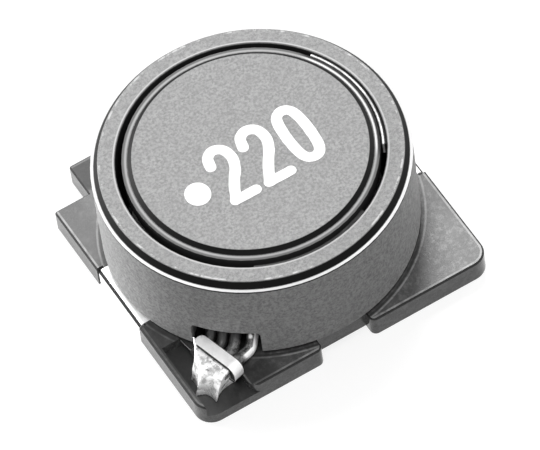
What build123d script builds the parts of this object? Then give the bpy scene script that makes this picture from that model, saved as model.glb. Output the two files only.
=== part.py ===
from build123d import *
import math
import os

# Shielded surface-mount inductor: a wound drum core inside a ring core, both bonded to a
# square plastic base that carries two tinned terminals. All lengths are in millimetres.
# The origin is the centre of the base on the board plane, +Z up. The front corner, where a
# lead is soldered in the open, is at -X -Y, and half a turn about Z gives the back corner.

# Base
base_side = 12.5
base_height = 0.93
base_corner_radius = 0.7
base_edge_chamfer = 0.06
key_notch = 1.5
key_notch_round = 0.12
recess_width = 2.1
recess_depth = 0.57
recess_round = 0.25
well_depth = 0.2
well_clearance = 0.15

# Solder pockets in the front and back corners of the base
pocket_floor = 0.45
pocket_rim = 0.23
pocket_length = 3.4
pocket_width = 1.89
pocket_mouth_round = 0.35

# Terminals, bent from sheet
sheet = 0.2
terminal_width = 3.0
terminal_inset = 0.04
terminal_slot_gap = 0.06
terminal_bend = 0.22
pad_length = 2.2
lip_length = 1.12
arm_width = 0.5
arm_root_reach = 1.08
arm_root_inset = 0.45
arm_knee_azimuth = 210.3
arm_knee_setback = 0.255
arm_bend = 0.5
arm_fit = 0.02
hook_azimuth = 215.15
hook_setback = 0.007
hook_angle = -74.5
hook_length = 2.15
hook_return = 1.75
hook_round = 0.08

# Ring core
ring_setback = 0.25
ring_wall = 0.95
ring_height = 4.28
ring_chamfer_width = 0.18
ring_chamfer_drop = 0.27
ring_land = 0.12
ring_foot_chamfer = 0.12
ring_bore_chamfer = 0.05
notch_azimuth = 227.0
notch_width = 2.65
notch_height = 1.31
notch_round = 0.2

# Drum core
drum_gap = 0.25
drum_rise = 0.2
lower_flange = 0.76
upper_flange = 0.85
window_depth = 2.3
drum_chamfer_width = 0.18
drum_chamfer_drop = 0.15
drum_land = 0.2
drum_edge = 0.1

# Winding
strand = 0.45
winding_clearance = 0.05
winding_setback = 0.65
lead_offsets = (0.88, 0.25, -0.22, -0.69)
lead_crossings = (0.36, 0.83, 1.3, 1.77)
lead_lift = 0.1
lead_tail = 0.45
lead_bend = 0.5

# Adhesive and solder
film = 0.06
film_inset = 0.12
bead_depth = 0.5
bead_right_azimuths = (-29.0, 32.0)
bead_right_drop = 0.1
bead_right_sag = -0.08
bead_back_azimuths = (74.0, 113.0)
bead_back_drop = 0.35
bead_back_sag = 0.05
bead_front_azimuths = (240.0, 297.0)
bead_front_drop = 0.3
bead_front_sag = 0.05
solder_toe_crossings = (2.25, 1.5, 0.85, 0.05, 0.12)
solder_toe_shares = (0.0, 0.77, 0.973, 0.67, 0.0)
solder_hollow_shares = (0.08, 0.19, 0.233, 0.145)
solder_height = 1.06
solder_waist_height = 0.5
solder_waist_share = 0.86
solder_crown_share = 0.62
solder_waist_hollow = 0.75
solder_crown_hollow = 0.3

# How far a cutting solid runs past the faces that it opens, and the slack in finding a corner
overshoot = 1.0
corner_slack = 1e-6

# Heights and radii that follow from the sizes above
half_side = base_side / 2
pocket_wall = -half_side + pocket_rim
ring_outer_radius = half_side - ring_setback
ring_inner_radius = ring_outer_radius - ring_wall
ring_foot = base_height + film
ring_top = ring_foot + ring_height
notch_top = ring_foot + notch_height
well_floor = base_height - well_depth
drum_foot = well_floor + film
drum_top = ring_top + drum_rise
flange_radius = ring_inner_radius - drum_gap
post_radius = flange_radius - window_depth
winding_radius = flange_radius - winding_setback
window_floor = drum_foot + lower_flange
window_top = drum_top - upper_flange
strand_gap = strand + 2 * arm_fit
lead_level = window_floor + strand / 2 + lead_lift
hook_level = base_height + strand_gap / 2
hook_crown = base_height + strand_gap + sheet / 2


def polar(radius, azimuth, height):
    angle = math.radians(azimuth)
    return Vector(radius * math.cos(angle), radius * math.sin(angle), height)


def block(low, high):
    """A box given by its two opposite corners."""
    size = [b - a for a, b in zip(low, high)]
    centre = [(a + b) / 2 for a, b in zip(low, high)]
    return Pos(*centre) * Box(*size)


def half_turn(shape):
    """The same shape at the opposite corner or side."""
    return Rot(0, 0, 180) * shape


def ring_of_revolution(points):
    """Turns a closed outline of (radius, height) points about Z."""
    outline = make_face(Polyline(*[(r, 0, z) for r, z in points], close=True))
    return revolve(outline, Axis.Z)


def hook_plane():
    """The upright plane along the middle of the hook: X outwards along it, Y up."""
    start = polar(ring_outer_radius - hook_setback, hook_azimuth, 0)
    along = polar(1, hook_angle, 0)
    return Plane(origin=start, x_dir=along, z_dir=along.cross(Vector(0, 0, 1)))


def hook_point(reach, height):
    return hook_plane().from_local_coords(Vector(reach, height, 0))


def arm_outline(width):
    """The arm in plan: from the lip, along the side under the ring, then in line with the hook."""
    root = (-half_side + arm_root_reach, -terminal_width / 2 + arm_root_inset, 0)
    knee = polar(ring_outer_radius - arm_knee_setback, arm_knee_azimuth, 0)
    route = FilletPolyline(root, knee, hook_point(sheet, 0), radius=arm_bend)
    return trace(route, width)


def corner_pocket():
    """The space for the joint in the front corner: open at the front, where its mouth is rounded, and out to
    the well's wall."""
    end = pocket_wall + pocket_width
    top = base_height + overshoot
    space = block((pocket_wall, -half_side - overshoot, pocket_floor), (end, -half_side + pocket_length, top))
    space -= Cylinder(ring_inner_radius + film_inset / 2, 4 * base_height)
    reach = pocket_mouth_round
    mouth = block((end, -half_side - overshoot, pocket_floor), (end + reach, -half_side + reach, top))
    mouth -= Pos(end + reach, -half_side + reach) * Cylinder(reach, 4 * base_height)
    return space + mouth


def base_outline():
    outline = RectangleRounded(base_side, base_side, base_corner_radius)
    notch_centre = half_side - key_notch / 2
    outline -= Pos(-notch_centre, notch_centre) * Rectangle(key_notch, key_notch)
    slot_depth = sheet + terminal_inset
    for side in (-1, 1):
        outline -= Pos(0, side * half_side) * Rectangle(recess_width, 2 * recess_depth)
        slot = Rectangle(2 * slot_depth, terminal_width + 2 * terminal_slot_gap)
        outline -= Pos(side * half_side, 0) * slot
    rim = outline.vertices()
    recess_mouths = rim.filter_by(lambda v: abs(abs(v.Y) - half_side) < corner_slack
                                  and abs(abs(v.X) - recess_width / 2) < corner_slack)
    outline = fillet(recess_mouths, recess_round)
    inner = key_notch - half_side
    notch_ends = (Vector(inner, half_side), Vector(-half_side, -inner))
    notch_mouths = outline.vertices().filter_by(
        lambda v: min((Vector(v) - end).length for end in notch_ends) < corner_slack)
    return fillet(notch_mouths, key_notch_round)


def make_base(terminals):
    body = extrude(base_outline(), base_height)
    rim = body.faces().sort_by(Axis.Z)[-1].outer_wire().edges()
    body = chamfer(rim, base_edge_chamfer)
    well = Cylinder(flange_radius + well_clearance, 2 * well_depth)
    body -= Pos(0, 0, base_height) * well
    groove = Pos(0, 0, base_height - sheet) * extrude(arm_outline(arm_width + 2 * arm_fit), 2 * sheet)
    for cut in (corner_pocket(), groove):
        body -= cut
        body -= half_turn(cut)
    for terminal in terminals:
        body -= terminal
    return body


def terminal_clip():
    """The strip that wraps the base's side: pad below, wall outside, lip on top."""
    outer_x = -half_side + terminal_inset
    length = pad_length + overshoot
    wrap = Pos(outer_x + length / 2, base_height / 2) * Rectangle(length, base_height)
    outside = wrap.vertices().group_by(Axis.X)[0]
    wrap = fillet(outside, terminal_bend)
    hollow_height = base_height - 2 * sheet
    hollow = Pos(outer_x + sheet + length / 2, base_height / 2) * Rectangle(length, hollow_height)
    wrap -= hollow
    for reach, level in ((pad_length, sheet / 2), (lip_length, base_height - sheet / 2)):
        spare = Pos(outer_x + reach + length / 2, level) * Rectangle(length, sheet + hollow_height / 2)
        wrap -= spare
    profile = Plane.XZ * wrap
    return extrude(profile, terminal_width / 2, both=True)


def terminal_arm():
    """The flat arm that runs out under the ring, and the hook that folds back over the strands."""
    level = base_height - sheet / 2
    flat = Pos(0, 0, level - sheet / 2) * extrude(arm_outline(arm_width), sheet)
    bend = (hook_crown - level) / 2 - hook_round
    route = FilletPolyline((0, level), (hook_length, level), (hook_length, hook_crown),
                           (hook_length - hook_return, hook_crown), radius=bend)
    hook = extrude(hook_plane() * trace(route, sheet), arm_width / 2, both=True)
    tip = Pos(hook_length - hook_return, hook_crown) * Rot(90, 0, 0) * Cylinder(arm_width / 2, sheet)
    return flat + hook + hook_plane() * tip


def make_terminal():
    return terminal_clip() + terminal_arm()


def lead_opening():
    """The opening in the ring's foot that the strands come through, with its rounded top corners."""
    height = notch_height + film
    opening = Rectangle(height, notch_width)
    upper = opening.vertices().group_by(Axis.X)[-1]
    opening = Pos(notch_top - height / 2, 0) * fillet(upper, notch_round)
    radial = Plane(origin=(0, 0, 0), x_dir=(0, 0, 1), z_dir=polar(1, notch_azimuth, 0))
    return extrude(radial * opening, 2 * ring_outer_radius)


def make_ring_core():
    shoulder = ring_top - ring_chamfer_drop
    outer = ring_outer_radius
    land = outer - ring_land
    body = ring_of_revolution([
        (ring_inner_radius + ring_bore_chamfer, ring_top),
        (land - ring_chamfer_width, ring_top),
        (land, shoulder),
        (outer, shoulder),
        (outer, ring_foot + ring_foot_chamfer),
        (outer - ring_foot_chamfer, ring_foot),
        (ring_inner_radius + ring_bore_chamfer, ring_foot),
        (ring_inner_radius, ring_foot + ring_bore_chamfer),
        (ring_inner_radius, ring_top - ring_bore_chamfer)])
    body -= lead_opening()
    body -= half_turn(lead_opening())
    return body


def make_drum_core():
    shoulder = drum_top - drum_chamfer_drop
    land = flange_radius - drum_land
    return ring_of_revolution([
        (0, drum_foot),
        (flange_radius - drum_edge, drum_foot),
        (flange_radius, drum_foot + drum_edge),
        (flange_radius, window_floor),
        (post_radius, window_floor),
        (post_radius, window_top),
        (flange_radius, window_top),
        (flange_radius, shoulder),
        (land, shoulder),
        (land - drum_chamfer_width, drum_top),
        (0, drum_top)])


def turns():
    """The wound turns as one plain body, as high as the whole rows that fit in the drum's window."""
    inner = post_radius + winding_clearance
    top = window_floor + strand * int((window_top - window_floor) / strand)
    return ring_of_revolution([(inner, window_floor), (winding_radius, window_floor),
                               (winding_radius, top), (inner, top)])


def lead_strand(offset, crossing):
    """One strand: straight out and down through the ring's opening, then round and level under the hook."""
    outwards = polar(1, notch_azimuth, 0)
    sideways = polar(1, notch_azimuth + 90, 0)
    across = hook_plane().z_dir
    under = hook_point(hook_length - crossing, hook_level)
    lane = sideways * offset
    reach = across.cross(under - lane).Z / across.cross(outwards).Z
    turn = lane + outwards * reach + Vector(0, 0, hook_level)
    rim = lane + outwards * flange_radius + Vector(0, 0, lead_level)
    start = rim - (turn - rim).normalized() * (flange_radius - winding_radius + strand)
    route = FilletPolyline(start, turn, under + across * lead_tail, radius=lead_bend)
    section = Plane(origin=route @ 0, z_dir=route % 0) * Circle(strand / 2)
    return sweep(section, path=route)


def make_winding():
    leads = [lead_strand(*way) for way in zip(lead_offsets, lead_crossings)]
    body = turns()
    for lead in leads:
        body += lead
        body += half_turn(lead)
    return body


def solder_star(spread, hollowing, level):
    """A star outline beside the hook: toes joined by hollow arcs. A small spread draws it in to the hook."""
    across = hook_plane().z_dir
    toes = []
    for crossing, share in zip(solder_toe_crossings, solder_toe_shares):
        root = hook_point(hook_length - crossing, level)
        room = (root.X - pocket_wall) / -across.X
        toes.append(root + across * (room * share * spread))
    arcs = []
    for first, second, hollow in zip(toes, toes[1:], solder_hollow_shares):
        arcs.append(SagittaArc(first, second, hollow * hollowing * (second - first).length))
    return make_face(arcs + [Line(toes[-1], toes[0])])


def make_solder(terminal, winding):
    """Solder wicked up from the pocket floor over the strand ends, wide at the toes."""
    body = loft([
        solder_star(1.0, 1.0, pocket_floor),
        solder_star(solder_waist_share, solder_waist_hollow, pocket_floor + solder_waist_height),
        solder_star(solder_crown_share, solder_crown_hollow, pocket_floor + solder_height)], ruled=True)
    body -= terminal
    body -= winding
    return body


def make_gap_bead(azimuths, drop, sag):
    """A bead of adhesive in the gap round the drum, between two azimuths, hollow or crowned in the middle."""
    first, last = azimuths
    inner = flange_radius
    outer = ring_inner_radius
    level = ring_top - drop
    low = level - bead_depth
    middle = (inner + outer) / 2
    outline = make_face([
        Line((inner, 0, low), (outer, 0, low)),
        Line((outer, 0, low), (outer, 0, level)),
        ThreePointArc((outer, 0, level), (middle, 0, level - sag), (inner, 0, level)),
        Line((inner, 0, level), (inner, 0, low))])
    return revolve(Rot(0, 0, first) * outline, Axis.Z, revolution_arc=last - first)


def make_ring_film():
    """The bond under the ring, left out over the solder pockets and in the lead openings."""
    outer = Cylinder(ring_outer_radius - film_inset, film)
    inner = Cylinder(ring_inner_radius + film_inset, film)
    body = Pos(0, 0, base_height + film / 2) * (outer - inner)
    for cut in (corner_pocket(), lead_opening()):
        body -= cut
        body -= half_turn(cut)
    return body


def make_drum_film():
    return Pos(0, 0, well_floor + film / 2) * Cylinder(flange_radius - film_inset, film)


terminal_left = make_terminal()
terminal_right = half_turn(terminal_left)
winding = make_winding()
solder_front = make_solder(terminal_left, winding)
film_left, film_right = make_ring_film().solids().sort_by(Axis.X)

nodes = {
    "base": make_base((terminal_left, terminal_right)),
    "terminal_left": terminal_left,
    "terminal_right": terminal_right,
    "ring_core": make_ring_core(),
    "drum_core": make_drum_core(),
    "winding": winding,
    "solder_front": solder_front,
    "solder_back": half_turn(solder_front),
    "gap_bead_right": make_gap_bead(bead_right_azimuths, bead_right_drop, bead_right_sag),
    "gap_bead_back": make_gap_bead(bead_back_azimuths, bead_back_drop, bead_back_sag),
    "gap_bead_front": make_gap_bead(bead_front_azimuths, bead_front_drop, bead_front_sag),
    "ring_film_left": film_left,
    "ring_film_right": film_right,
    "drum_film": make_drum_film(),
}

os.makedirs("parts", exist_ok=True)
for name, shape in nodes.items():
    export_step(shape, f"parts/{name}.step")
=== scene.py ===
import bpy
import bmesh
import math
from mathutils import Matrix, Vector, noise


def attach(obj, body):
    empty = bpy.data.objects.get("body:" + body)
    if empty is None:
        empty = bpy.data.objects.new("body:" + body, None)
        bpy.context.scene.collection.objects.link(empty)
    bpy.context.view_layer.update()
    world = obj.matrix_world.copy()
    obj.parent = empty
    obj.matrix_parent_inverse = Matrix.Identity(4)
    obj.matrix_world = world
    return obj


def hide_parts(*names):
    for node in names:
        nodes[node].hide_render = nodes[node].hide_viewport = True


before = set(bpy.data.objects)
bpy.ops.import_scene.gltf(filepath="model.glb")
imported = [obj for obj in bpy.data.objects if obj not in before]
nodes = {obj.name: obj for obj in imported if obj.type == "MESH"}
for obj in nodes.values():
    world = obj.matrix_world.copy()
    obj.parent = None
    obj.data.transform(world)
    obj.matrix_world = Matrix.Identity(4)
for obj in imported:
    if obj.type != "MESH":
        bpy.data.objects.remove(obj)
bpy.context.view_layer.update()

# The frame is in metres. Lengths here are in millimetres, and FAR is beyond any of the part's sizes
MM = 0.001
FAR = 100.0

LEFT = (-1, 0, 0)
RIGHT = (1, 0, 0)
FRONT = (0, -1, 0)
BACK = (0, 1, 0)

# Heights and radii of the solids, in millimetres
HALF_SIDE = 6.25
BASE_TOP = 0.93
RING_FOOT = 0.99
RING_TOP = 5.27
RING_SHOULDER = 5.0
RING_RADIUS = 6.0
RING_BORE = 5.05
RING_LAND_RADIUS = 5.88
RING_FLAT_RADIUS = 5.70
DRUM_TOP = 5.47
DRUM_SHOULDER = 5.32
FLANGE_RADIUS = 4.8
DRUM_LAND_RADIUS = 4.60
DRUM_FLAT_RADIUS = 4.42
TURNS_FOOT = 1.55
TURNS_RADIUS = 4.15
STRAND = 0.45

# The hook's flat band: unit vector across it, its distance from the Z axis, half its width
HOOK_ACROSS = (0.9636, 0.2672, 0.0)
HOOK_DISTANCE = 5.644
HOOK_HALF_WIDTH = 0.25

# The outermost strand: its lane through the ring's opening, its way under the hook, the middle of the
# painted highlight where it turns, and a small painted glint above that
LANE_SIDEWAYS = (0.7314, -0.682, 0.0)
LANE_OFFSET = 0.88
HOOK_ALONG = (0.2672, -0.9636, 0.0)
STRAND_REACH = 3.81
STRAND_TURN = (-3.28, -4.95, 1.38)
STRAND_GLINT = (-3.2, -4.66, 1.6)

# The base's corner arcs, the line of glue round the ring's foot and the crown of the clear bead, with
# painted highlights
BASE_CORNER_RADIUS = 0.7
GLUE_LINE_RADIUS = 6.17
BEAD_HIGHLIGHT_RADIUS = 4.915
LINE_HALF_WIDTH = 0.035

# The painted highlight along the front pocket's end wall's top edge, from X to X
POCKET_LINE = (-4.14, -4.06)

# Further to the side than this, a terminal's top is its arm
ARM_START = 1.55

# Grey levels that several materials share: the ferrite's grey, painted shade and a painted highlight's white
FERRITE_GREY = 0.33
BEVEL_PAINTED_SHADE = 0.004
SHADED = 0.03
HIGHLIGHT_WHITE = 0.97


# Materials: node trees are built by these short helpers

class Shader:
    """One node material, with its principled shader and shared object coordinates in millimetres."""

    def __init__(self, name, roughness, specular=0.5, metallic=0.0):
        self.material = bpy.data.materials.new(name)
        self.material.use_nodes = True
        self.tree = self.material.node_tree
        self.tree.nodes.clear()
        self.output = self.add("ShaderNodeOutputMaterial")
        self.surface = self.add("ShaderNodeBsdfPrincipled")
        self.link(self.surface.outputs[0], self.output.inputs[0])
        self.surface.inputs["Roughness"].default_value = roughness
        self.surface.inputs["Specular IOR Level"].default_value = specular
        self.surface.inputs["Metallic"].default_value = metallic
        coordinates = self.add("ShaderNodeTexCoord")
        scaled = self.add("ShaderNodeVectorMath", operation="SCALE")
        scaled.inputs["Scale"].default_value = 1 / MM
        self.link(coordinates.outputs["Object"], scaled.inputs[0])
        self.place = scaled.outputs[0]
        flat = self.add("ShaderNodeVectorMath", operation="MULTIPLY")
        flat.inputs[1].default_value = (1, 1, 0)
        self.link(self.place, flat.inputs[0])
        length = self.add("ShaderNodeVectorMath", operation="LENGTH")
        self.link(flat.outputs[0], length.inputs[0])
        self.radius = length.outputs["Value"]
        split = self.add("ShaderNodeSeparateXYZ")
        self.link(self.place, split.inputs[0])
        self.height = split.outputs[2]

    def add(self, kind, **settings):
        node = self.tree.nodes.new(kind)
        for key, value in settings.items():
            setattr(node, key, value)
        return node

    def link(self, source, target):
        self.tree.links.new(source, target)

    def noise(self, per_mm, detail=3.0, rough=0.6, stretch=(1, 1, 1), warp=0.0):
        """Noise at that scale, a value from 0 to 1."""
        place = self.place
        if stretch != (1, 1, 1):
            scaled = self.add("ShaderNodeVectorMath", operation="MULTIPLY")
            scaled.inputs[1].default_value = stretch
            self.link(place, scaled.inputs[0])
            place = scaled.outputs[0]
        texture = self.add("ShaderNodeTexNoise")
        texture.inputs["Scale"].default_value = per_mm
        texture.inputs["Detail"].default_value = detail
        texture.inputs["Roughness"].default_value = rough
        texture.inputs["Distortion"].default_value = warp
        self.link(place, texture.inputs["Vector"])
        return texture.outputs["Fac"]

    def remap(self, value, low, high, to_low=0.0, to_high=1.0):
        """Moves smoothly from to_low, below the low value, to to_high, above the high one."""
        node = self.add("ShaderNodeMapRange", interpolation_type="SMOOTHSTEP")
        node.inputs["From Min"].default_value = low
        node.inputs["From Max"].default_value = high
        node.inputs["To Min"].default_value = to_low
        node.inputs["To Max"].default_value = to_high
        self.link(value, node.inputs["Value"])
        return node.outputs[0]

    def maths(self, operation, first, second):
        node = self.add("ShaderNodeMath", operation=operation)
        for socket, value in zip(node.inputs, (first, second)):
            if isinstance(value, (int, float)):
                socket.default_value = value
            else:
                self.link(value, socket)
        return node.outputs[0]

    def absolute(self, value):
        return self.maths("ABSOLUTE", value, 0.0)

    def either(self, first, second):
        """The larger of two masks."""
        return self.maths("MAXIMUM", first, second)

    def share(self, mask, amount):
        """A mask weakened to that share."""
        return self.maths("MULTIPLY", mask, amount)

    def all_of(self, *masks):
        """The masks multiplied, so that it is 1 only where they all are."""
        total = masks[0]
        for mask in masks[1:]:
            total = self.maths("MULTIPLY", total, mask)
        return total

    def along(self, direction):
        """How far each point lies along a direction, in millimetres."""
        node = self.add("ShaderNodeVectorMath", operation="DOT_PRODUCT")
        node.inputs[1].default_value = direction
        self.link(self.place, node.inputs[0])
        return node.outputs["Value"]

    def facing_up(self):
        """1 where the surface faces up, 0 where it is upright."""
        geometry = self.add("ShaderNodeNewGeometry")
        split = self.add("ShaderNodeSeparateXYZ")
        self.link(geometry.outputs["True Normal"], split.inputs[0])
        return split.outputs[2]

    def spot(self, centre, inner, outer):
        """1 within the inner distance of a point, 0 beyond the outer one."""
        node = self.add("ShaderNodeVectorMath", operation="DISTANCE")
        node.inputs[1].default_value = centre
        self.link(self.place, node.inputs[0])
        return self.remap(node.outputs["Value"], inner, outer, 1.0, 0.0)

    def rounded_square(self, half, corner):
        """Distance out from the corner arcs' centres of an upright rounded square, in millimetres."""
        value = self.place
        limit = half - corner
        steps = (("ABSOLUTE", None), ("SUBTRACT", (limit, limit, FAR)), ("MAXIMUM", (0, 0, 0)))
        for operation, amount in steps:
            node = self.add("ShaderNodeVectorMath", operation=operation)
            self.link(value, node.inputs[0])
            if amount is not None:
                node.inputs[1].default_value = amount
            value = node.outputs[0]
        length = self.add("ShaderNodeVectorMath", operation="LENGTH")
        self.link(value, length.inputs[0])
        return length.outputs["Value"]

    def band(self, value, low, high, soft):
        """1 between low and high, falling to 0 over soft at each end."""
        rise = self.remap(value, low - soft / 2, low + soft / 2)
        fall = self.remap(value, high - soft / 2, high + soft / 2, 1.0, 0.0)
        return self.maths("MULTIPLY", rise, fall)

    def line(self, radius, soft):
        """1 on a fine circle round the Z axis."""
        return self.band(self.radius, radius - LINE_HALF_WIDTH, radius + LINE_HALF_WIDTH, soft)

    def mix(self, mask, first, second):
        """Colours mixed by a mask. A colour is a grey level, an RGB triple or a socket."""
        node = self.add("ShaderNodeMix", data_type="RGBA")
        if isinstance(mask, (int, float)):
            node.inputs[0].default_value = mask
        else:
            self.link(mask, node.inputs[0])
        for socket, colour in ((node.inputs[6], first), (node.inputs[7], second)):
            if isinstance(colour, (int, float)):
                colour = (colour, colour, colour)
            if isinstance(colour, tuple):
                socket.default_value = (*colour, 1.0)
            else:
                self.link(colour, socket)
        return node.outputs[2]

    def colour(self, socket):
        self.link(socket, self.surface.inputs["Base Color"])

    def roughness(self, socket):
        self.link(socket, self.surface.inputs["Roughness"])

    def bump(self, height, depth_mm, strength=1.0):
        node = self.add("ShaderNodeBump")
        node.inputs["Strength"].default_value = strength
        node.inputs["Distance"].default_value = depth_mm * MM
        self.link(height, node.inputs["Height"])
        self.link(node.outputs[0], self.surface.inputs["Normal"])


def ferrite_grain(shader):
    """Sintered ferrite: fine speckle over slightly cloudy grey."""
    speckle = shader.noise(9.0, detail=3.0, rough=0.75)
    clouds = shader.noise(1.6, detail=3.0)
    fine = shader.mix(shader.remap(speckle, 0.3, 0.7), FERRITE_GREY * 0.74, FERRITE_GREY * 1.24)
    return shader.mix(shader.remap(clouds, 0.35, 0.7, 0.0, 0.3), fine, FERRITE_GREY * 0.88), speckle


def ferrite_ring():
    """Ferrite with a mottled wall, painted highlights on the land and along the flat top's edges, and
    painted shade on the bevel, under the land, at the foot and in the bore.
    """
    shader = Shader("ferrite_ring_sintered", roughness=0.6, specular=0.1)
    grain, speckle = ferrite_grain(shader)
    at_top = shader.remap(shader.height, RING_SHOULDER - 0.02, RING_SHOULDER + 0.02)
    # Painted highlights: light lines along the inner and outer edges of the ring's flat top
    inner_edge_highlight = shader.all_of(shader.band(shader.radius, RING_BORE + 0.04, RING_BORE + 0.1, 0.03), at_top)
    tone = shader.mix(inner_edge_highlight, grain, 0.55)
    flecked = shader.remap(shader.noise(2.4, detail=4.0, rough=0.7), 0.5, 0.6)
    outer_edge_highlight = shader.band(shader.radius, RING_FLAT_RADIUS - 0.09, RING_FLAT_RADIUS - 0.02, 0.03)
    tone = shader.mix(shader.all_of(outer_edge_highlight, at_top, flecked), tone, 0.6)
    # Painted shade: the bevel round the ring's flat top is near black
    on_chamfer = shader.all_of(shader.band(shader.radius, RING_FLAT_RADIUS + 0.01, RING_LAND_RADIUS, 0.03),
                               at_top)
    tone = shader.mix(on_chamfer, tone, BEVEL_PAINTED_SHADE)
    # Painted highlight: the ring's outer land is nearly white
    on_land = shader.all_of(shader.remap(shader.radius, RING_LAND_RADIUS, RING_LAND_RADIUS + 0.02),
                            shader.band(shader.height, RING_SHOULDER - 0.02, RING_SHOULDER + 0.03, 0.02))
    tone = shader.mix(on_land, tone, 0.85)
    on_wall = shader.remap(shader.radius, RING_RADIUS - 0.02, RING_RADIUS - 0.005)
    mottle = shader.remap(shader.noise(4.5, detail=5.0, rough=0.8), 0.42, 0.66, 0.0, 0.6)
    tone = shader.mix(shader.all_of(on_wall, mottle), tone, 0.5)
    # Painted shadow: a dark line on the wall just under the land
    under_land_shadow = shader.band(shader.height, RING_SHOULDER - 0.09, RING_SHOULDER - 0.02, 0.02)
    tone = shader.mix(shader.all_of(on_wall, under_land_shadow), tone, 0.04)
    # Painted shade on the ring's foot chamfer, where it meets the base
    at_foot = shader.remap(shader.height, RING_FOOT + 0.1, RING_FOOT + 0.13, 1.0, 0.0)
    tone = shader.mix(at_foot, tone, SHADED)
    # Painted shade down the ring's bore, in the gap round the drum
    below_top = shader.remap(shader.height, RING_TOP - 0.05, RING_TOP - 0.01, 1.0, 0.0)
    in_bore = shader.remap(shader.radius, RING_BORE + 0.01, RING_BORE + 0.06, 1.0, 0.0)
    tone = shader.mix(shader.all_of(in_bore, below_top), tone, SHADED)
    shader.colour(tone)
    shader.bump(speckle, 0.012, 0.35)
    return shader.material


def ferrite_drum():
    """Ferrite with painted shade on the bevel, the side and the land's outer half, and a painted highlight
    on the land's inner half that is brightest beside the clear bead.
    """
    shader = Shader("ferrite_drum_sintered", roughness=0.6, specular=0.1)
    grain, speckle = ferrite_grain(shader)
    at_top = shader.remap(shader.height, DRUM_SHOULDER - 0.02, DRUM_SHOULDER + 0.02)
    # Painted shade: the bevel round the drum's flat top is near black
    on_chamfer = shader.band(shader.radius, DRUM_FLAT_RADIUS, DRUM_LAND_RADIUS + 0.02, 0.03)
    tone = shader.mix(shader.all_of(on_chamfer, at_top), grain, BEVEL_PAINTED_SHADE)
    # Painted highlight on the land's inner half, brightest beside the clear bead, and painted shade on its
    # outer half
    near_shoulder = shader.band(shader.height, DRUM_SHOULDER - 0.05, DRUM_SHOULDER + 0.02, 0.02)
    on_land = shader.band(shader.radius, DRUM_LAND_RADIUS + 0.03, FLANGE_RADIUS, 0.02)
    outer_half = shader.remap(shader.radius, DRUM_LAND_RADIUS + 0.07, DRUM_LAND_RADIUS + 0.14)
    beside_bead = shader.remap(shader.along(RIGHT), 3.7, 4.1)
    land = shader.mix(beside_bead, shader.mix(outer_half, 0.42, 0.16), shader.mix(outer_half, 0.85, 0.03))
    tone = shader.mix(shader.all_of(on_land, near_shoulder), tone, land)
    # Painted shade on the drum's side below the shoulder, down in the gap
    below_shoulder = shader.remap(shader.height, DRUM_SHOULDER - 0.04, DRUM_SHOULDER, 1.0, 0.0)
    on_side = shader.remap(shader.radius, FLANGE_RADIUS - 0.03, FLANGE_RADIUS - 0.005)
    tone = shader.mix(shader.all_of(on_side, below_shoulder), tone, 0.04)
    shader.colour(tone)
    shader.bump(speckle, 0.012, 0.3)
    return shader.material


def moulding_lines(shader, tone, at_top, edge):
    """The fine painted highlight and painted shade lines on the moulding's top face."""
    # Painted highlights: light lines inside the rim, along the glue line round the ring's foot and along the
    # pocket's end wall
    inside_rim = shader.band(edge, BASE_CORNER_RADIUS - 0.15, BASE_CORNER_RADIUS - 0.07, 0.02)
    glue_line = shader.line(GLUE_LINE_RADIUS, 0.03)
    fading = shader.remap(shader.noise(3.0, detail=3.0), 0.3, 0.6, 0.4, 1.0)
    rim_and_glue_highlight = shader.all_of(shader.either(inside_rim, shader.share(glue_line, 0.7)), at_top, fading)
    pocket_line = shader.all_of(shader.band(shader.along(RIGHT), *POCKET_LINE, 0.02), at_top,
                                shader.remap(shader.along(FRONT), 4.7, 4.9))
    tone = shader.mix(shader.either(rim_and_glue_highlight, pocket_line), tone, 0.34)
    # Painted shade: a dark band on the base between the ring's foot and the glue line
    beside_glue = shader.band(shader.radius, RING_RADIUS + 0.03, GLUE_LINE_RADIUS - 0.06, 0.03)
    return shader.mix(shader.share(shader.all_of(beside_glue, at_top), 0.6), tone, 0.01)


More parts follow.
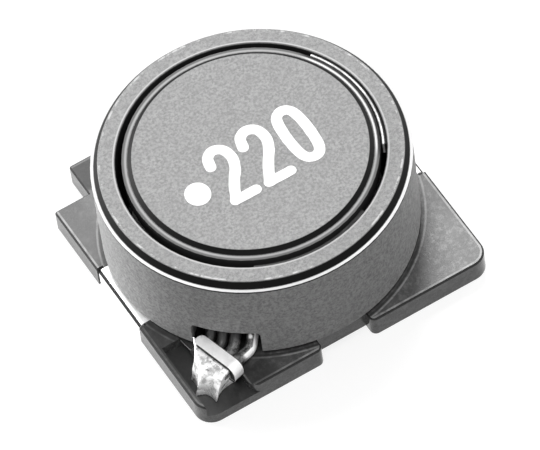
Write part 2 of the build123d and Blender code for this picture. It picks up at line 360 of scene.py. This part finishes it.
def moulding():
    """Black moulding: fine speckle, duller at the left and the back, glossier on its sides, with painted
    shade at the front left, the back left, in the pocket and on the rim and bevel.
    """
    shader = Shader("moulding_plastic", roughness=0.38, specular=0.55)
    clouds = shader.noise(1.2, detail=3.0)
    fine = shader.noise(6.0, detail=4.0, rough=0.7)
    tone = shader.mix(shader.remap(clouds, 0.3, 0.7), 0.05, 0.075)
    tone = shader.mix(shader.remap(fine, 0.45, 0.7), tone, 0.12)

    to_left = shader.along(LEFT)
    to_front = shader.along(FRONT)
    to_back = shader.along(BACK)
    up = shader.facing_up()
    at_top = shader.remap(shader.height, BASE_TOP - 0.01, BASE_TOP - 0.003)
    edge = shader.rounded_square(HALF_SIDE, BASE_CORNER_RADIUS)
    tone = moulding_lines(shader, tone, at_top, edge)

    # Painted shade over the front left corner, which lies in the ring's shadow
    front_left = shader.all_of(shader.remap(to_left, 2.5, 3.5), shader.remap(to_front, 1.2, 1.8))
    tone = shader.mix(shader.share(front_left, 0.7), tone, 0.015)
    # Painted shade on the floor of the pocket
    in_pocket = shader.remap(shader.height, BASE_TOP - 0.35, BASE_TOP - 0.3, 0.6, 0.0)
    tone = shader.mix(shader.all_of(in_pocket, shader.remap(up, 0.5, 0.8)), tone, 0.01)
    coarse = shader.noise(2.6, detail=5.0, rough=0.8)
    on_side = shader.band(up, -0.3, 0.3, 0.1)
    tone = shader.mix(on_side, tone, shader.mix(shader.remap(coarse, 0.38, 0.66), 0.045, 0.11))
    # Painted shade: the top's bevel and outermost edge are near black
    near_top = shader.remap(shader.height, BASE_TOP - 0.08, BASE_TOP - 0.06)
    on_bevel = shader.all_of(shader.band(up, 0.45, 0.9, 0.1), near_top)
    outermost = shader.remap(edge, BASE_CORNER_RADIUS - 0.08, BASE_CORNER_RADIUS - 0.06)
    on_rim = shader.either(on_bevel, shader.all_of(outermost, at_top))
    tone = shader.mix(on_rim, tone, 0.005)
    # Painted shade on the back left of the top
    back_left = shader.all_of(shader.remap(to_left, 2.5, 3.5), shader.remap(to_back, 4.7, 5.0), at_top)
    tone = shader.mix(shader.share(back_left, 0.6), tone, 0.015)
    shader.colour(tone)

    duller_left = shader.either(shader.remap(to_left, 4.5, 5.5, 0.0, 0.11), shader.share(back_left, 0.22))
    duller_back = shader.remap(to_back, -4.2, -2.8, 0.0, 0.06)
    duller = shader.either(shader.either(duller_left, duller_back), shader.share(on_rim, 0.4))
    uneven = shader.maths("ADD", shader.remap(fine, 0.3, 0.7, 0.32, 0.44), duller)
    shader.roughness(shader.maths("MULTIPLY", uneven, shader.remap(on_side, 0.0, 1.0, 1.0, 0.4)))
    shader.bump(fine, 0.012, 0.5)
    return shader.material


def tinned_sheet():
    """Bright rolled tin, with painted shade on the hook's cut edges, on the bends and along the arm."""
    shader = Shader("tinned_sheet_metal", roughness=0.6, metallic=1.0)
    rolled = shader.noise(6.0, detail=3.0, stretch=(1, 6, 6))
    stains = shader.noise(2.2, detail=4.0)
    tone = shader.mix(shader.remap(stains, 0.35, 0.75), 0.95, 0.85)
    # Painted shade on the hook's cut edges
    distance = shader.absolute(shader.along(HOOK_ACROSS))
    aside = shader.absolute(shader.maths("SUBTRACT", distance, HOOK_DISTANCE))
    on_cut_edge = shader.all_of(shader.remap(aside, HOOK_HALF_WIDTH - 0.02, HOOK_HALF_WIDTH - 0.005),
                                shader.remap(shader.height, BASE_TOP, BASE_TOP + 0.1))
    tone = shader.mix(on_cut_edge, tone, 0.04)
    # Painted shade on the bends
    on_bend = shader.all_of(shader.band(shader.facing_up(), 0.25, 0.85, 0.1),
                            shader.band(shader.height, BASE_TOP - 0.2, BASE_TOP + 0.01, 0.01))
    tone = shader.mix(on_bend, tone, 0.03)
    # Painted shade along the arm on the base's top
    sideways = shader.absolute(shader.along(BACK))
    on_arm = shader.all_of(shader.remap(sideways, ARM_START, ARM_START + 0.1),
                           shader.band(shader.height, BASE_TOP - 0.1, BASE_TOP + 0.03, 0.02))
    tone = shader.mix(on_arm, tone, 0.05)
    shader.colour(tone)
    shader.roughness(shader.remap(rolled, 0.3, 0.7, 0.52, 0.68))
    shader.bump(rolled, 0.006, 0.3)
    return shader.material


def solder_metal():
    """Solder with bright patches, greyer mottles and a few dark pits."""
    shader = Shader("solder_metal", roughness=0.55, metallic=1.0)
    mottle = shader.noise(3.2, detail=5.0, rough=0.65, warp=0.5)
    pits = shader.noise(5.0, detail=1.0)
    tone = shader.mix(shader.remap(mottle, 0.36, 0.56), 0.5, 0.97)
    tone = shader.mix(shader.remap(pits, 0.66, 0.76), tone, 0.25)
    shader.colour(tone)
    shader.roughness(shader.remap(mottle, 0.3, 0.7, 0.75, 0.6))
    shader.bump(mottle, 0.03, 0.5)
    return shader.material


def enamelled_wire():
    """Patchy dark enamel with painted shade in the opening, and a white, metallic painted highlight and
    glint where the outermost strand turns.
    """
    shader = Shader("enamelled_wire", roughness=0.3, specular=0.6)
    patches = shader.noise(5.0, detail=5.0, rough=0.75)
    tone = shader.mix(shader.remap(patches, 0.4, 0.62), 0.04, 0.3)
    # Painted shade: the strands are near black inside the ring's opening
    in_opening = shader.remap(shader.along(BACK), -4.7, -4.3)
    tone = shader.mix(in_opening, tone, 0.03)
    # Painted highlight: a white, metallic patch on the outside of the outermost strand where it turns, and a
    # small painted glint above it
    beside = shader.maths("SUBTRACT", shader.along(LANE_SIDEWAYS), LANE_OFFSET)
    ahead = shader.maths("SUBTRACT", shader.along(HOOK_ALONG), STRAND_REACH)
    on_outside = shader.remap(shader.either(beside, ahead), 0.07, 0.12)
    at_turn = shader.all_of(on_outside, shader.spot(STRAND_TURN, 0.45, 0.65))
    strand_painted_highlight = shader.either(at_turn, shader.spot(STRAND_GLINT, 0.05, 0.12))
    shader.colour(shader.mix(strand_painted_highlight, tone, HIGHLIGHT_WHITE))
    shader.link(strand_painted_highlight, shader.surface.inputs["Metallic"])
    shader.roughness(shader.either(shader.remap(patches, 0.3, 0.7, 0.25, 0.45), shader.share(strand_painted_highlight, 0.6)))
    turn = shader.maths("DIVIDE", shader.maths("SUBTRACT", shader.height, TURNS_FOOT), STRAND)
    ridge = shader.absolute(shader.maths("SINE", shader.share(turn, math.pi), 0.0))
    on_turns = shader.remap(shader.radius, TURNS_RADIUS + 0.01, TURNS_RADIUS + 0.03, 1.0, 0.0)
    relief = shader.maths("ADD", shader.share(patches, 0.15), shader.all_of(ridge, on_turns))
    shader.bump(relief, 0.12, 0.6)
    return shader.material


def adhesive_bead():
    """Clear adhesive with painted shade for its narrow gap and a painted highlight along its crown."""
    shader = Shader("adhesive_clear", roughness=0.35, specular=0.3)
    # Painted shade: the clear bead is near black, as the gap beneath it is
    flow = shader.noise(2.5, detail=3.0)
    tone = shader.mix(shader.remap(flow, 0.3, 0.7), 0.012, 0.03)
    # Painted highlight: a light line along the bead's crown
    bead_painted_highlight = shader.line(BEAD_HIGHLIGHT_RADIUS, 0.025)
    shader.colour(shader.mix(bead_painted_highlight, tone, shader.mix(shader.remap(flow, 0.35, 0.6), 0.55, 0.95)))
    shader.bump(flow, 0.03, 0.4)
    return shader.material


def dark_adhesive():
    """Dull dark adhesive, slightly cloudy."""
    shader = Shader("adhesive_dark", roughness=0.4, specular=0.6)
    flow = shader.noise(2.5, detail=3.0)
    shader.colour(shader.mix(shader.remap(flow, 0.3, 0.7), 0.03, 0.06))
    shader.bump(flow, 0.03, 0.4)
    return shader.material


def ink():
    """White ink with a few worn spots."""
    shader = Shader("white_ink", roughness=0.5, specular=0.4)
    wear = shader.noise(5.0, detail=4.0)
    shader.colour(shader.mix(shader.remap(wear, 0.62, 0.8), 0.93, 0.8))
    shader.bump(wear, 0.006, 0.3)
    return shader.material


def dress(name, material):
    """Puts one material in every slot of a node."""
    slots = nodes[name].data.materials
    for index in range(len(slots)):
        slots[index] = material


wire = enamelled_wire()
solder = solder_metal()
tin = tinned_sheet()
clear = adhesive_bead()
dark = dark_adhesive()
dress("ring_core", ferrite_ring())
dress("drum_core", ferrite_drum())
dress("base", moulding())
for node in ("terminal_left", "terminal_right"):
    dress(node, tin)
for node in ("solder_front", "solder_back"):
    dress(node, solder)
dress("winding", wire)
dress("gap_bead_right", clear)
for node in ("gap_bead_front", "gap_bead_back", "ring_film_left", "ring_film_right", "drum_film"):
    dress(node, dark)


# Marking: a dot and a plain three-figure number in thin raised ink

INK_WIDTH = 0.42
INK_HEIGHT = 0.012
INK_RAGGED = 0.072
RAGGED_PER_MM = 3
RAGGED_ACROSS = 7
CURVE_STEPS = 10
CAP_STEPS = 6
DOT_STEPS = 24
NOUGHT_STEPS = 12
SQUARENESS = 0.75

# Each shape of one piece stands this much higher and reaches this much deeper than the one before
INK_LAYER = 0.004

# A ribbon's points lie at these shares of its half width
ACROSS_SHARES = (-1.0, -0.5, 0.0, 0.5, 1.0)


def between(before, start, end, after, t):
    """A coordinate at share t of the way from start to end, on a smooth curve through all four."""
    bend = 2 * before - 5 * start + 4 * end - after
    twist = 3 * start - before - 3 * end + after
    return 0.5 * (2 * start + (end - before) * t + bend * t ** 2 + twist * t ** 3)


def smooth_path(points, closed=False):
    """A curve through the points, as closely spaced (x, y) pairs."""
    count = len(points)
    path = []
    for index in range(count if closed else count - 1):
        around = [index - 1, index, index + 1, index + 2]
        if closed:
            near = [points[k % count] for k in around]
        else:
            near = [points[min(max(k, 0), count - 1)] for k in around]
        for step in range(CURVE_STEPS):
            path.append(tuple(between(*values, step / CURVE_STEPS) for values in zip(*near)))
    if not closed:
        path.append(points[-1])
    return path


def ink_sheet(mesh, rows, height, turned):
    """One flat face of the ink at that height, facing down if turned. Returns its grid of vertices."""
    grid = [[mesh.verts.new((x * MM, y * MM, height * MM)) for x, y in row] for row in rows]
    for first, second in zip(grid, grid[1:]):
        for k in range(len(first) - 1):
            corners = [first[k], first[k + 1], second[k + 1], second[k]]
            mesh.faces.new(corners[::-1] if turned else corners)
    return grid


def ink_piece(name, outlines):
    """A thin raised piece from flat outlines, each a list of rows of (x, y) points joined row to row."""
    mesh = bmesh.new()
    for layer, rows in enumerate(outlines):
        high = ink_sheet(mesh, rows, DRUM_TOP + INK_HEIGHT + layer * INK_LAYER, False)
        low = ink_sheet(mesh, rows, DRUM_TOP - (layer + 1) * INK_LAYER, True)
        rim_high = edge_loop(high)
        rim_low = edge_loop(low)
        for k in range(len(rim_high)):
            following = (k + 1) % len(rim_high)
            mesh.faces.new([rim_high[k], rim_low[k], rim_low[following], rim_high[following]])
    bmesh.ops.remove_doubles(mesh, verts=mesh.verts, dist=1e-7)
    bmesh.ops.recalc_face_normals(mesh, faces=mesh.faces)
    data = bpy.data.meshes.new(name)
    mesh.to_mesh(data)
    mesh.free()
    piece = bpy.data.objects.new(name, data)
    bpy.context.scene.collection.objects.link(piece)
    data.materials.append(ink_material)
    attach(piece, "root")


def edge_loop(grid):
    """The outer rim of a grid of points, all the way round."""
    top = grid[0]
    right = [row[-1] for row in grid[1:]]
    bottom = grid[-1][:-1][::-1]
    left = [row[0] for row in grid[1:-1]][::-1]
    return top + right + bottom + left


def stroke(points, closed=False):
    """A ribbon of ink along the points, slightly ragged at its edges, with rounded ends."""
    path = smooth_path(points, closed)
    count = len(path)
    rows = []
    ends = []
    for index, (x, y) in enumerate(path):
        before = path[index - 1] if closed or index else path[0]
        after = path[(index + 1) % count] if closed or index < count - 1 else path[-1]
        along = Vector((after[0] - before[0], after[1] - before[1])).normalized()
        side = Vector((-along.y, along.x))
        row = []
        for share in ACROSS_SHARES:
            spot = Vector((x * RAGGED_PER_MM, y * RAGGED_PER_MM, share * RAGGED_ACROSS))
            reach = share * INK_WIDTH / 2 * (1 + INK_RAGGED * noise.noise(spot))
            row.append((x + side.x * reach, y + side.y * reach))
        rows.append(row)
        ends.append((Vector((x, y)), along, side))
    if closed:
        rows.append(rows[0])
        return rows
    for centre, along, side, last in ((*ends[0], False), (*ends[-1], True)):
        forward = along if last else -along
        caps = []
        for step in range(1, CAP_STEPS):
            angle = math.pi / 2 * step / CAP_STEPS
            middle = centre + forward * (INK_WIDTH / 2 * math.sin(angle))
            half = INK_WIDTH / 2 * math.cos(angle)
            caps.append([tuple(middle + side * share * half) for share in ACROSS_SHARES])
        rows = rows + caps if last else caps[::-1] + rows
    return rows


def dot(x, y, across, high):
    """A rounded dot with those half sizes, as rows of points."""
    rows = []
    for step in range(1, DOT_STEPS):
        angle = math.pi * step / DOT_STEPS
        half = across * math.sin(angle)
        rows.append([(x + share * half, y + high * math.cos(angle)) for share in ACROSS_SHARES])
    return rows


def centre_lines(left, right, low, high):
    """A figure's box, drawn in by half the ink's width on each side."""
    half = INK_WIDTH / 2
    return left + half, right - half, low + half, high - half


def figure_two(**box):
    """A 2 that fills a box with a left, right, low and high side."""
    left, right, low, high = centre_lines(**box)
    middle = (left + right) / 2
    top = [(left, high - 0.6), (left + 0.12, high - 0.18), (middle, high), (right - 0.1, high - 0.2)]
    down = [(right, high - 0.65), (right - 0.15, high - 1.15), (middle - 0.05, low + 0.75),
            (left + 0.02, low)]
    return [stroke(top + down), stroke([(left, low), (middle, low), (right, low)])]


def figure_nought(**box):
    """A 0 that fills such a box, a little squarer than an ellipse."""
    left, right, low, high = centre_lines(**box)
    across = (right - left) / 2
    tall = (high - low) / 2
    loop = []
    for step in range(NOUGHT_STEPS):
        angle = 2 * math.pi * step / NOUGHT_STEPS
        square_x = math.copysign(abs(math.cos(angle)) ** SQUARENESS, math.cos(angle))
        square_y = math.copysign(abs(math.sin(angle)) ** SQUARENESS, math.sin(angle))
        loop.append((left + across * (1 - square_x), low + tall * (1 + square_y)))
    return [stroke(loop, closed=True)]


ink_material = ink()
ink_piece("marking_dot", [dot(x=-2.61, y=-0.58, across=0.49, high=0.53)])
ink_piece("marking_first", figure_two(left=-1.81, right=-0.51, low=-1.83, high=0.99))
ink_piece("marking_second", figure_two(left=-0.36, right=0.99, low=-1.83, high=1.07))
ink_piece("marking_third", figure_nought(left=1.2, right=2.52, low=-1.78, high=1.08))


# Solder: the joints' solids, remeshed so that they look flowed instead of cut

SOLDER_VOXEL = 0.03
SOLDER_SMOOTHING = 12
LUMP_HEIGHT = 0.02
LUMPS_PER_MM = 2.2
SMALL_LUMPS_PER_MM = 5.0


def flowed_solder(name, node):
    """A smoothed, slightly lumpy copy of a solder node, which takes its place."""
    data = nodes[node].data.copy()
    data.transform(Matrix.Scale(1 / MM, 4))
    rough = bpy.data.objects.new(name, data)
    bpy.context.scene.collection.objects.link(rough)
    remesh = rough.modifiers.new("remesh", "REMESH")
    remesh.mode = "VOXEL"
    remesh.voxel_size = SOLDER_VOXEL
    smooth = rough.modifiers.new("smooth", "SMOOTH")
    smooth.factor = 0.5
    smooth.iterations = SOLDER_SMOOTHING
    flowed = bpy.data.meshes.new_from_object(rough.evaluated_get(bpy.context.evaluated_depsgraph_get()))
    bpy.data.objects.remove(rough)
    normals = [vertex.normal.copy() for vertex in flowed.vertices]
    for vertex, normal in zip(flowed.vertices, normals):
        lump = noise.noise(vertex.co * LUMPS_PER_MM) + 0.5 * noise.noise(vertex.co * SMALL_LUMPS_PER_MM)
        vertex.co += normal * (lump * LUMP_HEIGHT)
    flowed.transform(Matrix.Scale(MM, 4))
    flowed.shade_smooth()
    flowed.materials.clear()
    flowed.materials.append(solder)
    piece = bpy.data.objects.new(name, flowed)
    bpy.context.scene.collection.objects.link(piece)
    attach(piece, "root")
    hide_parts(node)


flowed_solder("solder_joint_front", "solder_front")
flowed_solder("solder_joint_back", "solder_back")


# Camera, fitted to the photograph's view, far off with a long lens so that parallel edges stay parallel

AZIMUTH = -23.8
ELEVATION = 55.06
ROLL = -8.8
PIXELS_PER_MM = 26.68
ORIGIN_PIXEL = (263.35, 234.4)
IMAGE_SIZE = (540, 450)
DISTANCE = 303.0
SENSOR = 36.0


def direction(azimuth_deg, elevation_deg):
    """The unit vector that points that way."""
    azimuth = math.radians(azimuth_deg)
    elevation = math.radians(elevation_deg)
    level = math.cos(elevation)
    return Vector((math.cos(azimuth) * level, math.sin(azimuth) * level, math.sin(elevation)))


roll = math.radians(ROLL)
level_right = direction(AZIMUTH, 0)
back = direction(AZIMUTH - 90, ELEVATION)
level_up = back.cross(level_right)
right = math.cos(roll) * level_right + math.sin(roll) * level_up
up = -math.sin(roll) * level_right + math.cos(roll) * level_up
to_middle = right * (IMAGE_SIZE[0] / 2 - ORIGIN_PIXEL[0]) + up * (ORIGIN_PIXEL[1] - IMAGE_SIZE[1] / 2)
target = to_middle / PIXELS_PER_MM

lens = bpy.data.cameras.new("camera")
lens.sensor_width = SENSOR
lens.lens = PIXELS_PER_MM * DISTANCE * SENSOR / IMAGE_SIZE[0]
lens.clip_start = 0.01
lens.clip_end = 10.0
camera = bpy.data.objects.new("camera", lens)
bpy.context.scene.collection.objects.link(camera)
turn = Matrix((right, up, back)).transposed().to_4x4()
camera.matrix_world = Matrix.Translation((target + back * DISTANCE) * MM) @ turn
bpy.context.scene.camera = camera


# Studio: white floor and surroundings, a key light from behind, a low strong one from the left and two weak
# ones, from the right and from overhead

FLOOR_HALF_SIZE = 0.6
FLOOR_DROP = 0.00002
FLOOR_GREY = 0.3
FLOOR_GLOW = 0.78


def add_floor():
    """A floor that looks white to the camera and in reflections, but throws back only a grey's light."""
    size = FLOOR_HALF_SIZE
    mesh = bpy.data.meshes.new("floor")
    corners = [(-size, -size, 0), (size, -size, 0), (size, size, 0), (-size, size, 0)]
    mesh.from_pydata(corners, [], [(0, 1, 2, 3)])
    floor = bpy.data.objects.new("floor", mesh)
    floor.location.z = -FLOOR_DROP
    bpy.context.scene.collection.objects.link(floor)
    material = bpy.data.materials.new("floor_paper")
    material.use_nodes = True
    tree = material.node_tree
    tree.nodes.clear()
    output = tree.nodes.new("ShaderNodeOutputMaterial")
    paper = tree.nodes.new("ShaderNodeBsdfDiffuse")
    paper.inputs[0].default_value = (FLOOR_GREY, FLOOR_GREY, FLOOR_GREY, 1)
    glow = tree.nodes.new("ShaderNodeEmission")
    glow.inputs[0].default_value = (1, 1, 1, 1)
    seen = tree.nodes.new("ShaderNodeMath")
    seen.operation = "MULTIPLY"
    tree.links.new(seen_rays(tree), seen.inputs[0])
    seen.inputs[1].default_value = FLOOR_GLOW
    tree.links.new(seen.outputs[0], glow.inputs[1])
    both = tree.nodes.new("ShaderNodeAddShader")
    tree.links.new(paper.outputs[0], both.inputs[0])
    tree.links.new(glow.outputs[0], both.inputs[1])
    tree.links.new(both.outputs[0], output.inputs[0])
    mesh.materials.append(material)


def seen_rays(tree):
    """1 for camera, glossy and transmission rays, 0 for the rest."""
    path = tree.nodes.new("ShaderNodeLightPath")
    total = path.outputs["Is Camera Ray"]
    for name in ("Is Glossy Ray", "Is Transmission Ray"):
        larger = tree.nodes.new("ShaderNodeMath")
        larger.operation = "MAXIMUM"
        tree.links.new(total, larger.inputs[0])
        tree.links.new(path.outputs[name], larger.inputs[1])
        total = larger.outputs[0]
    return total


def set_world(ambient):
    """White surroundings for the camera and for reflections, with only the ambient level as light."""
    world = bpy.data.worlds.new("studio")
    world.use_nodes = True
    tree = world.node_tree
    background = tree.nodes["Background"]
    background.inputs[0].default_value = (1, 1, 1, 1)
    strength = tree.nodes.new("ShaderNodeMapRange")
    strength.inputs["To Min"].default_value = ambient
    strength.inputs["To Max"].default_value = 1.0
    tree.links.new(seen_rays(tree), strength.inputs["Value"])
    tree.links.new(strength.outputs[0], background.inputs[1])
    bpy.context.scene.world = world


def add_lamp(name, azimuth_deg, elevation_deg, distance, size, level):
    """A square soft box. At level 1 it shows a white surface at the origin that faces it as white."""
    way = direction(azimuth_deg, elevation_deg)
    light = bpy.data.lights.new(name, "AREA")
    light.shape = "SQUARE"
    light.size = size
    light.energy = level * math.pi ** 2 * distance ** 2
    lamp = bpy.data.objects.new(name, light)
    bpy.context.scene.collection.objects.link(lamp)
    lamp.location = way * distance
    lamp.rotation_euler = way.to_track_quat("Z", "Y").to_euler()


add_floor()
set_world(ambient=0.25)
add_lamp("key", azimuth_deg=68, elevation_deg=55, distance=0.4, size=0.13, level=0.62)
add_lamp("left", azimuth_deg=124, elevation_deg=7, distance=0.1, size=0.04, level=1.75)
add_lamp("right", azimuth_deg=15, elevation_deg=10, distance=0.2, size=0.06, level=0.4)
add_lamp("overhead", azimuth_deg=248, elevation_deg=75, distance=0.25, size=0.12, level=0.4)

scene = bpy.context.scene
scene.view_settings.view_transform = "Standard"
